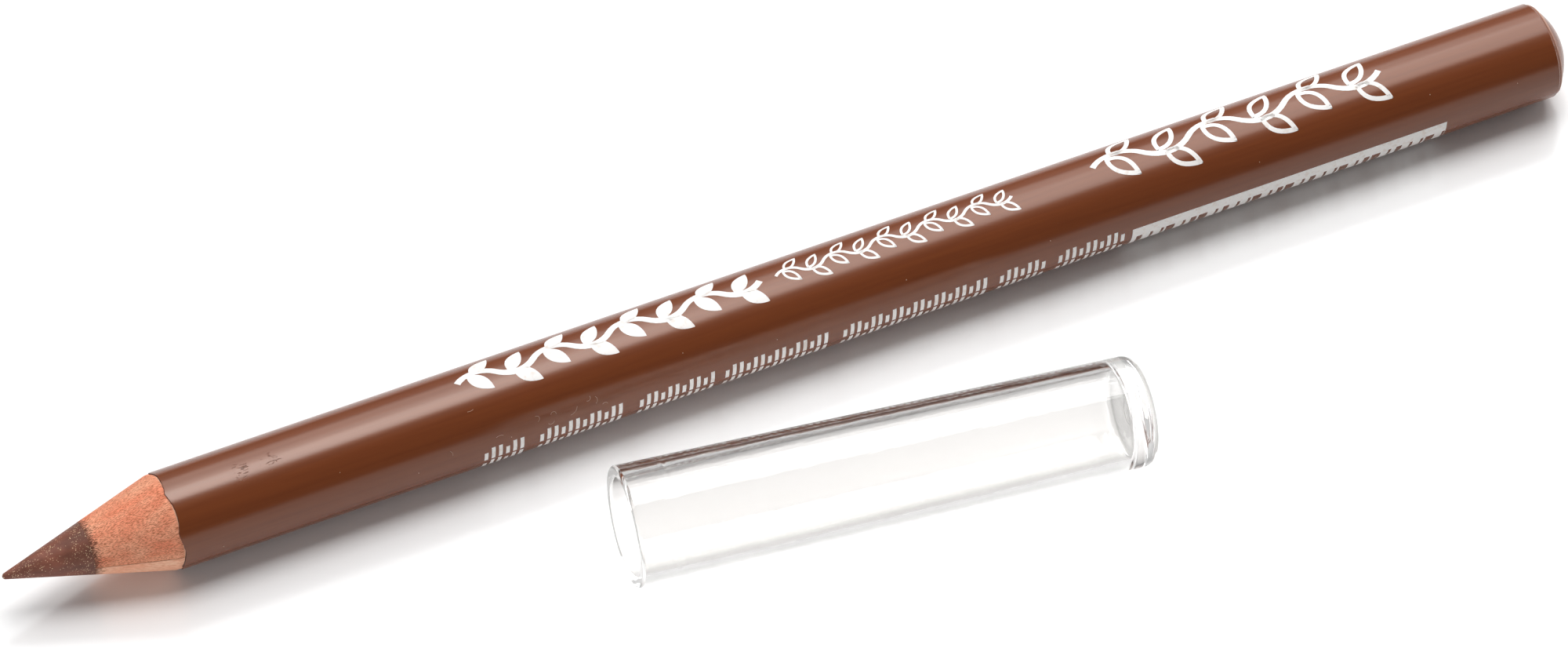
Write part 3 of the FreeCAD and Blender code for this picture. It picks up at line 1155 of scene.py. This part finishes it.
@dataclass
class Printing:
    """White print on the barrel.

    It is laid out flat, x from the rim and y up round the barrel from the top
    line, and then wrapped onto the lacquer. A tick group is its start and its
    length. The panel is its two ends and its two angles from the top line.
    """

    pencil: Pencil
    ink: float = 0.012
    buried: float = 0.01
    leaf_spots: tuple[Spot, ...] = ((0.42, 0.8, 38.0), (0.3, 0.6, -48.0))
    leaf_point: float = 0.7
    leaf_narrowing: float = 0.25
    leaf_line: float = 0.8
    vines: tuple[Vine, ...] = (
        Vine(23.6, 24.6, 8, 0.6, 0.5, 2.3, 1.15, LeafKind.SOLID, 0.2),
        Vine(49.5, 19.5, 10, 0.42, 0.24, 1.7, 0.8, LeafKind.OPEN, 0.1),
        Vine(75.8, 24.2, 6, 0.8, 0.46, 3.1, 1.6, LeafKind.OPEN, 0.1),
    )
    tick_row_angles: tuple[float, float] = (96.0, 119.5)
    tick_height: float = 1.3
    tick_width: float = 0.3
    tick_pitch: float = 0.58
    short_tick_every: int = 3
    short_tick: float = 0.7
    tick_groups: tuple[tuple[float, float], ...] = (
        (24.0, 3.3),
        (28.5, 6.9),
        (36.6, 5.9),
        (43.6, 8.5),
        (53.3, 12.1),
        (66.3, 4.0),
        (71.2, 5.6),
    )
    panel: tuple[float, float, float, float] = (77.4, 104.1, 90.5, 150.0)
    bars_from: float = 107.0
    bars_to: float = 144.0
    bar_widths: tuple[float, ...] = (0.5, 0.25, 0.25, 0.75, 0.25, 0.5, 0.75, 0.25)
    bar_pitch: float = 0.92

    def flat(self, angle: float) -> float:
        """The layout's y of an angle from the top line towards the viewer, in degrees."""
        return -math.radians(angle) * self.pencil.radius

    def plate(self, bm: bmesh.types.BMesh, x: tuple[float, float], y: tuple[float, float]) -> None:
        """Add a rectangle to the layout.

        Args:
            bm: The layout.
            x: Its two ends in millimetres.
            y: Its lower and upper side in millimetres.
        """
        size = Matrix.Diagonal(((x[1] - x[0]) * MM, (y[1] - y[0]) * MM, 1.0, 1.0))
        middle = Matrix.Translation(((x[0] + x[1]) / 2 * MM, (y[0] + y[1]) / 2 * MM, 0.0))
        bmesh.ops.create_grid(bm, x_segments=1, y_segments=1, size=0.5, matrix=middle @ size)

    def leaf(
        self,
        bm: bmesh.types.BMesh,
        vine: Vine,
        root: Vector,
        lean: float,
    ) -> None:
        """Add a pointed leaf to the layout.

        Args:
            bm: The layout.
            vine: The stretch that it belongs to.
            root: Where it leaves the stem.
            lean: Its direction, in radians.
        """
        half = vine.leaf_length / 2
        made = bmesh.ops.create_circle(bm, cap_ends=True, segments=28, radius=1.0)
        verts = made["verts"]
        for vert in verts:
            vert.co.y *= abs(vert.co.y) ** self.leaf_point * (1.0 - self.leaf_narrowing * vert.co.x)
        size = Matrix.Diagonal((half * MM, vine.leaf_width / 2 * MM, 1.0, 1.0))
        lift = Matrix.Translation((half * MM, 0.0, 0.0))
        lean_turn = Matrix.Rotation(lean, 4, "Z")
        bmesh.ops.transform(
            bm, matrix=Matrix.Translation(root) @ lean_turn @ lift @ size, verts=verts
        )
        if vine.leaves is LeafKind.OPEN:
            faces = list({f for v in verts for f in v.link_faces})
            bmesh.ops.inset_region(
                bm,
                faces=faces,
                thickness=vine.stroke * self.leaf_line * MM,
                use_boundary=True,
                use_even_offset=True,
            )
            bmesh.ops.delete(bm, geom=faces, context="FACES")

    def vine_layout(self, bm: bmesh.types.BMesh, vine: Vine) -> None:
        """Add a stem of arcs with its leaves to the layout.

        Each leaf spot is its share of the bend's length and of its rise, and its
        lean in degrees.

        Args:
            bm: The layout.
            vine: The stretch to lay out.
        """
        chord = vine.length / vine.bends
        arc_radius = (chord**2 / 4 + vine.rise**2) / (2 * vine.rise)
        sweep = 2 * math.asin(chord / 2 / arc_radius)
        side = 1.0
        tangent = sweep / 2
        half = Vector((-math.sin(tangent), math.cos(tangent), 0.0)) * (vine.stroke / 2 * MM)
        here = Vector((vine.start * MM, vine.middle * MM, 0.0))
        edge = bm.edges.new((bm.verts.new(here - half), bm.verts.new(here + half)))
        front: list[bmesh.types.BMElem] = [edge, *edge.verts]
        for bend in range(vine.bends):
            drop = side * (arc_radius - vine.rise)
            centre = here + Vector((chord / 2 * MM, -drop * MM, 0.0))
            made = bmesh.ops.spin(
                bm,
                geom=front,
                cent=centre,
                axis=(0.0, 0.0, -side),
                angle=sweep,
                steps=10,
            )
            front = list(made["geom_last"])
            for along, up, lean in self.leaf_spots:
                root = here + Vector((chord * along * MM, side * vine.rise * up * MM, 0.0))
                self.leaf(bm, vine, root, side * math.radians(lean))
            here = here + Vector((chord * MM, 0.0, 0.0))
            side = -side

    def wrap(self, bm: bmesh.types.BMesh) -> None:
        """Cut the layout along the barrel's facets, give it ink and lay it on.

        Args:
            bm: The layout, which becomes a thin closed shell on the lacquer.
        """
        facet = STEP_ANGLE * self.pencil.radius * MM
        low = min(v.co.y for v in bm.verts)
        high = max(v.co.y for v in bm.verts)
        for index in range(math.ceil(low / facet), math.floor(high / facet) + 1):
            bmesh.ops.bisect_plane(
                bm,
                geom=list(bm.verts) + list(bm.edges) + list(bm.faces),
                dist=0.0001 * MM,
                plane_co=(0.0, index * facet, 0.0),
                plane_no=(0.0, 1.0, 0.0),
            )
        raised = bmesh.ops.extrude_face_region(bm, geom=list(bm.faces), use_keep_orig=True)
        tops = [g for g in raised["geom"] if isinstance(g, bmesh.types.BMVert)]
        bmesh.ops.translate(bm, verts=tops, vec=(0.0, 0.0, (self.ink + self.buried) * MM))
        radius = self.pencil.radius
        for vert in bm.verts:
            angle = -vert.co.y / (radius * MM)
            out = (radius - self.buried) * MM + vert.co.z
            vert.co = Vector((vert.co.x, -out * math.sin(angle), out * math.cos(angle)))
        bmesh.ops.recalc_face_normals(bm, faces=bm.faces)
        bmesh.ops.transform(bm, matrix=self.pencil.place, verts=bm.verts)

    def build_vines(self, material: bpy.types.Material) -> None:
        """Print the three stretches of leafy ornament along the top."""
        for number, vine in enumerate(self.vines, start=1):
            bm = bmesh.new()
            self.vine_layout(bm, vine)
            self.wrap(bm)
            add_piece(f"printed_vine_{number}", bm, [material])

    def build_ticks(self, material: bpy.types.Material) -> None:
        """Print two rows of upright ticks, every third one short, on the viewer's side."""
        bm = bmesh.new()
        for angle in self.tick_row_angles:
            foot = self.flat(angle) - self.tick_height / 2
            for start, length in self.tick_groups:
                for index in range(int(length / self.tick_pitch) + 1):
                    x = start + index * self.tick_pitch
                    share = 1.0 if index % self.short_tick_every else self.short_tick
                    height = self.tick_height * share
                    self.plate(bm, (x, x + self.tick_width), (foot, foot + height))
        self.wrap(bm)
        add_piece("printed_ticks", bm, [material])

    def build_panel(self, material: bpy.types.Material) -> None:
        """Print the white field, with its row of bars left in the lacquer's colour."""
        bm = bmesh.new()
        left, right, top, bottom = self.panel
        row = (self.flat(self.bars_to), self.flat(self.bars_from))
        self.plate(bm, (left, right), (row[1], self.flat(top)))
        self.plate(bm, (left, right), (self.flat(bottom), row[0]))
        x = left
        for index in range(int((right - left) / self.bar_pitch)):
            width = self.bar_widths[index % len(self.bar_widths)]
            bar = left + (index + 1) * self.bar_pitch - width
            self.plate(bm, (x, bar), row)
            x = bar + width
        self.plate(bm, (x, right), row)
        self.wrap(bm)
        add_piece("printed_panel", bm, [material])


@dataclass(frozen=True)
class Fibre:
    """A curled fibre on the barrel: place from the rim, angle, lean, length and bend."""

    x: float
    angle: float
    lean: float
    length: float
    bend: float


@dataclass
class Lint:
    """Short fibres and specks of dust that lie on the lacquer.

    A speck is its place from the rim, its angle from the top and its radius.
    """

    pencil: Pencil
    thickness: float = 0.014
    fibres: tuple[Fibre, ...] = (
        Fibre(28.4, 72.0, 20.0, 0.8, 170.0),
        Fibre(29.2, 79.0, -60.0, 0.6, 130.0),
        Fibre(29.9, 70.0, 75.0, 0.7, 190.0),
        Fibre(31.0, 78.0, 5.0, 0.9, 80.0),
        Fibre(32.4, 67.0, -35.0, 0.6, 160.0),
        Fibre(33.1, 74.0, 40.0, 0.7, 100.0),
        Fibre(34.0, 79.0, 110.0, 0.5, 120.0),
        Fibre(25.6, 74.0, 150.0, 0.6, 60.0),
        Fibre(21.5, 78.0, 80.0, 0.5, 60.0),
        Fibre(23.4, 34.0, -15.0, 0.5, 40.0),
    )
    specks: tuple[Spot, ...] = (
        (3.1, 96.0, 0.05),
        (5.6, 24.0, 0.035),
        (12.8, 52.0, 0.03),
        (18.7, 86.0, 0.04),
        (26.2, 80.0, 0.045),
        (40.5, 50.0, 0.04),
        (47.9, 72.0, 0.035),
        (58.8, 54.0, 0.045),
        (70.6, 66.0, 0.04),
        (88.3, 58.0, 0.035),
        (103.0, 48.0, 0.04),
        (110.2, 70.0, 0.04),
    )

    def lay(self, x: float, angle: float, lean: float = 0.0) -> Matrix:
        """From a flat place, z up, to a place on the lacquer.

        Args:
            x: Millimetres from the rim.
            angle: Degrees from the top towards the viewer's side.
            lean: Degrees about the surface's own normal.

        Returns:
            The placement in the row frame.
        """
        round_axis = Matrix.Rotation(math.radians(angle), 4, "X")
        up = Matrix.Translation((x * MM, 0.0, self.pencil.radius * MM))
        return self.pencil.place @ round_axis @ up @ Matrix.Rotation(math.radians(lean), 4, "Z")

    def build(self, finish: CottonLint) -> None:
        """Lay the fibres and specks on the barrel."""
        bm = bmesh.new()
        for fibre in self.fibres:
            bend = math.radians(fibre.bend)
            made = bmesh.ops.create_circle(
                bm,
                cap_ends=True,
                segments=6,
                radius=self.thickness * MM,
                matrix=Matrix.Rotation(math.pi / 2, 4, "Y"),
            )
            start = list(made["verts"])
            faces = list({f for v in start for f in v.link_faces})
            before = set(bm.verts) - set(start)
            bmesh.ops.spin(
                bm,
                geom=faces,
                cent=(0.0, fibre.length / bend * MM, 0.0),
                axis=(0.0, 0.0, 1.0),
                angle=bend,
                steps=12,
            )
            strand = [v for v in bm.verts if v not in before]
            place = self.lay(fibre.x, fibre.angle, fibre.lean)
            bmesh.ops.transform(bm, matrix=place, verts=strand)
        for x, angle, radius in self.specks:
            bmesh.ops.create_icosphere(
                bm, subdivisions=2, radius=radius * MM, matrix=self.lay(x, angle)
            )
        bmesh.ops.recalc_face_normals(bm, faces=bm.faces)
        add_piece("settled_lint", bm, [finish.material()])


@dataclass
class Cap:
    """The clear cap, lying beside the pencil. x is from its mouth."""

    seat: float = 3.78
    wall: float = 0.83
    length: float = 40.2
    draft: float = 0.56
    floor: float = 1.7
    ring_place: float = 3.4
    ring_width: float = 0.6
    ring_depth: float = 0.02
    seat_depth: float = 14.0
    seat_blend: float = 4.0
    edge_radius: float = 1.12
    core_radius: float = 0.6
    lip: float = 0.2
    lip_reach: float = 0.35
    gate_radius: float = 0.9
    gate_edge: float = 0.06
    gate_depth: float = 0.22
    pip_radius: float = 0.3
    pip_height: float = 0.12
    mouth_x: float = -21.372
    mouth_y: float = -4.947
    yaw: float = CAP_YAW

    @property
    def mouth(self) -> float:
        """The outer radius at the mouth."""
        return self.seat + self.wall

    @property
    def place(self) -> Matrix:
        """From the cap's own axis to the row frame."""
        height = self.mouth * math.cos(math.radians(self.draft))
        spot = Matrix.Translation((self.mouth_x * MM, self.mouth_y * MM, height * MM))
        yaw = Matrix.Rotation(math.radians(-self.yaw), 4, "Z")
        return spot @ yaw @ Matrix.Rotation(math.radians(self.draft), 4, "Y")

    def build(self, wall: ClearStyrene, thick: ClearStyrene) -> None:
        """Build the moulding with its lip, seat, tapering bore and gate mark.

        Args:
            wall: The finish of the side wall.
            thick: Painted shade: a darker finish for the lip and the closed end, where it is thick.
        """
        slope = math.tan(math.radians(self.draft))
        side = self.mouth - self.length * slope
        inside = self.length - self.floor
        bore = self.mouth - inside * slope - self.wall
        gate = self.length - self.gate_depth
        outline = Outline(
            [
                (inside, 0.0),
                (inside, bore),
                (self.seat_depth, self.seat),
                (self.ring_place + self.ring_width / 2, self.seat),
                (self.ring_place, self.seat + self.ring_depth),
                (self.ring_place - self.ring_width / 2, self.seat),
                (0.0, self.seat),
                (0.0, self.mouth),
                (self.length, side),
                (self.length, self.gate_radius),
                (gate, self.gate_radius),
                (gate, self.pip_radius),
                (gate + self.pip_height, self.pip_radius),
                (gate + self.pip_height, 0.0),
            ],
            closed=False,
        )
        for x, radius, rounding, segments in (
            (self.length, side, self.edge_radius, 12),
            (inside, bore, self.core_radius, 8),
            (0.0, self.seat, self.lip, 4),
            (0.0, self.mouth, self.lip, 4),
            (self.length, self.gate_radius, self.gate_edge, 3),
            (self.seat_depth, self.seat, self.seat_blend, 4),
        ):
            outline.round_off(x, radius, rounding, segments)
        bm = outline.turn()
        # The lip and the closed end get the darker copy of the finish: painted shade.
        for face in bm.faces:
            if not self.lip_reach * MM < face.calc_center_median().x < inside * MM:
                face.material_index = 1
        bmesh.ops.transform(bm, matrix=self.place, verts=bm.verts)
        finishes = [wall.material(), thick.material()]
        add_piece("clear_cap_moulding", bm, finishes, ("cap",))


@dataclass(frozen=True)
class Softbox:
    """A softbox that faces the object: its middle, width, depth and radiance."""

    middle: Spot
    width: float
    depth: float
    radiance: float


class Lamp(Enum):
    """The lamps of the studio, each one panel of a soft light."""

    OVERHEAD = Softbox((0.19, 0.17, 0.60), 0.62, 0.46, 3.5)
    OVERHEAD_CORE = Softbox((0.02, 0.12, 0.60), 0.26, 0.28, 3.9)
    OVERHEAD_FRONT = Softbox((0.19, -0.16, 0.58), 0.62, 0.16, 0.1)
    BACK_UPPER = Softbox((0.19, 0.46, 0.44), 0.70, 0.26, 2.3)
    BACK_LOWER = Softbox((0.19, 0.60, 0.24), 0.70, 0.20, 0.3)
    LEFT_CARD = Softbox((-0.185, -0.075, 0.05), 0.12, 0.08, 2.8)
    RIGHT_CARD = Softbox((0.42, -0.06, 0.16), 0.36, 0.24, 1.5)


@dataclass
class Studio:
    """Floor, softboxes, surroundings and camera, in metres; lens and sensor in millimetres."""

    lens: float = 223.973
    sensor: float = 36.0
    clip_start: float = 0.01
    camera_at: Spot = (-0.210862, -0.438400, 0.539479)
    right: Spot = (0.90610421, -0.42305456, 0.0)
    up: Spot = (0.31108704, 0.6662906, 0.67770324)
    floor_size: float = 3.0
    world_level: float = 0.04
    world_in_gloss: float = 0.08
    world_through: float = 0.85
    mirrorings_seen: int = 1

    def lay_floor(self, finish: WhiteAcrylic) -> None:
        """Lay the white sheet under the object."""
        bm = bmesh.new()
        bmesh.ops.create_grid(bm, x_segments=1, y_segments=1, size=self.floor_size / 2)
        mesh = bpy.data.meshes.new("floor_sheet")
        bm.to_mesh(mesh)
        bm.free()
        mesh.materials.append(finish.material())
        floor = bpy.data.objects.new("floor_sheet", mesh)
        bpy.context.scene.collection.objects.link(floor)

    def hang_lamps(self) -> None:
        """Hang the softboxes, each facing the object."""
        for lamp in Lamp:
            softbox = lamp.value
            light = bpy.data.lights.new(lamp.name.lower(), "AREA")
            light.shape = "RECTANGLE"
            light.size = softbox.width
            light.size_y = softbox.depth
            light.energy = softbox.radiance * math.pi * softbox.width * softbox.depth
            box = bpy.data.objects.new(light.name, light)
            middle = Vector(softbox.middle)
            back = middle.normalized()
            along_pencil = Vector((1.0, 0.0, 0.0))
            level = Vector((0.0, 0.0, 1.0)).cross(back).normalized()
            width_way = along_pencil if abs(back.x) < FACES_ALONG else level
            depth_way = back.cross(width_way).normalized()
            turn = Matrix((depth_way.cross(back), depth_way, back)).transposed().to_4x4()
            box.matrix_world = Matrix.Translation(middle) @ turn
            bpy.context.scene.collection.objects.link(box)

    def set_world(self) -> None:
        """Surround the studio with a dim even grey, which is white through clear plastic."""
        world = bpy.data.worlds.new("studio_walls")
        world.use_nodes = True
        tree = world.node_tree
        background = tree.nodes["Background"]
        background.inputs["Color"].default_value = grey(1.0)
        rays = add_node(tree, "LightPath")
        shiny = add_node(
            tree,
            "MapRange",
            {"To Min": self.world_level, "To Max": self.world_in_gloss},
            {"Value": rays.outputs["Is Glossy Ray"]},
        ).outputs[0]
        inside = add_node(
            tree,
            "Math",
            {"operation": "GREATER_THAN", 1: self.mirrorings_seen + 0.5},
            {0: rays.outputs["Glossy Depth"]},
        ).outputs[0]
        in_plastic = add_node(
            tree,
            "Math",
            {"operation": "MAXIMUM"},
            {0: rays.outputs["Is Transmission Ray"], 1: inside},
        ).outputs[0]
        level = add_node(
            tree,
            "MapRange",
            {"To Max": self.world_through},
            {"Value": in_plastic, "To Min": shiny},
        ).outputs[0]
        tree.links.new(level, background.inputs["Strength"])
        bpy.context.scene.world = world

    def place_camera(self) -> None:
        """Set the camera where the photograph's perspective puts it."""
        data = bpy.data.cameras.new("camera")
        data.lens = self.lens
        data.sensor_width = self.sensor
        data.sensor_fit = "HORIZONTAL"
        data.clip_start = self.clip_start
        camera = bpy.data.objects.new("camera", data)
        right, up = Vector(self.right), Vector(self.up)
        back = right.cross(up)
        turn = Matrix((right, up, back)).transposed().to_4x4()
        camera.matrix_world = Matrix.Translation(self.camera_at) @ turn
        bpy.context.scene.collection.objects.link(camera)
        bpy.context.scene.camera = camera


def main() -> None:
    """Build the pencil, its print, the cap and the studio."""
    logging.basicConfig(level=logging.INFO, format="%(message)s")
    bpy.context.scene.view_settings.view_transform = "Standard"
    pencil = Pencil()
    pencil.build_lead(CosmeticLead())
    close_grained = SharpenedCedar(
        name="sharpened_cedar_close_grained",
        pale="#FFCCAE",
        warm="#FFBC9C",
        dark="#E8A07E",
        fibre_mm=(1.6, 0.1),
    )
    pencil.build_slats(SharpenedCedar(), close_grained)
    pencil.build_coat(GlossLacquer(), CutLacquer())
    # The dip's finish paints a highlight with some rubbing on the bead, beside its scuffs.
    dip_finish = GlossLacquer(
        name="gloss_dip_lacquer",
        scuffs=((62.5, 7.9, 6.4),),
        scuff_reach=0.8,
        bead_highlight_at=62.68,
    )
    pencil.build_dip(dip_finish)
    printing = Printing(pencil)
    ink = PadInk().material()
    printing.build_vines(ink)
    printing.build_ticks(ink)
    printing.build_panel(ink)
    Lint(pencil).build(CottonLint())
    # A darker copy of the clear finish: painted shade on the lip and the closed end.
    shaded_thick_end = ClearStyrene(
        name="clear_polystyrene_thick_end", ior=1.3, face_on="#E9E8E6", edge_on_painted_shade="#8E8D8B"
    )
    Cap().build(ClearStyrene(), shaded_thick_end)
    studio = Studio()
    studio.lay_floor(WhiteAcrylic())
    studio.hang_lamps()
    studio.set_world()
    studio.place_camera()


if __name__ == "__main__":
    main()
